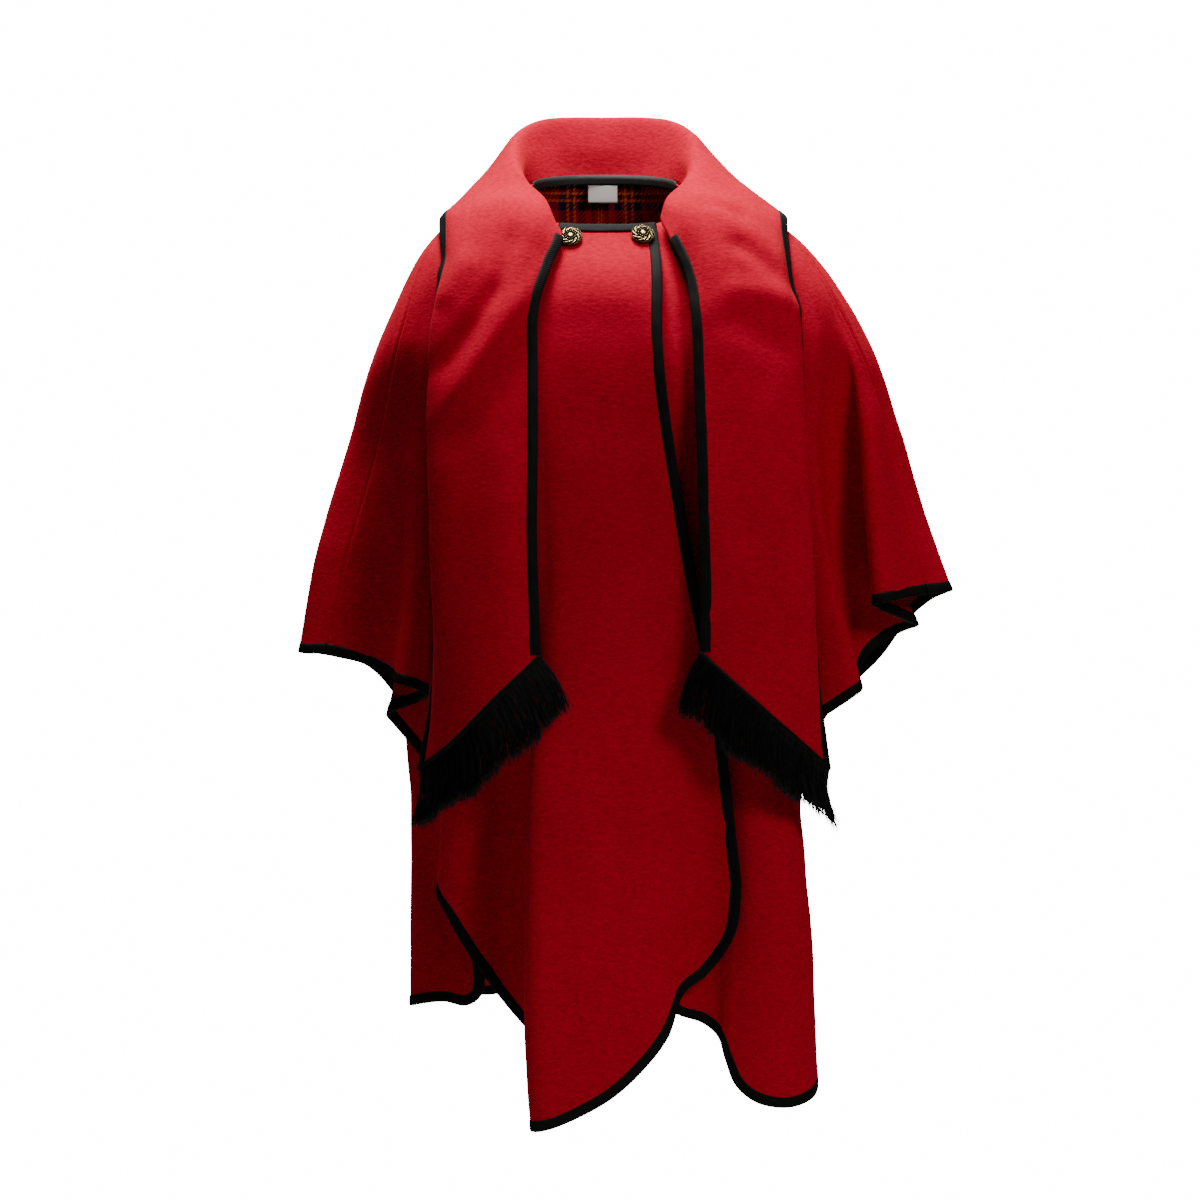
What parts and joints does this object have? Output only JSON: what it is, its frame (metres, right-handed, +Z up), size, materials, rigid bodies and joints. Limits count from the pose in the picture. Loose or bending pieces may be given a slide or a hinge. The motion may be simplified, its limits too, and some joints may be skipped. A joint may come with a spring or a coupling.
{
  "type": "wool cape",
  "caption": "Hollow wool cape as worn: overlapping fronts, a back, bound edges, neck buttons and a long scarf collar with fringed tails.",
  "frame": {"origin": "the middle of the neck opening at shoulder height, where the cape is held", "axes": "+Z up, the front faces -Y, the wearer's left is +X"},
  "size_m": [0.7087, 0.3258, 1.0823],
  "materials": {
    "wool": "napped double-faced wool, red outside",
    "binding": "flat folded braid",
    "fringe": "silky threads",
    "button": "antiqued",
    "label": "woven tape"
  },
  "bodies": {
    "root": {"right_front": "wool", "left_front": "wool", "back": "wool", "scarf_collar": "wool", "right_front_binding": "binding", "left_front_binding": "binding", "back_binding": "binding", "scarf_outer_binding": "binding", "scarf_inner_binding_right": "binding", "scarf_inner_binding_left": "binding", "fringe_right": "fringe", "fringe_left": "fringe", "button_right": "button", "button_left": "button", "neck_tape": "binding", "care_label": "label"}
  },
  "joints": []
}
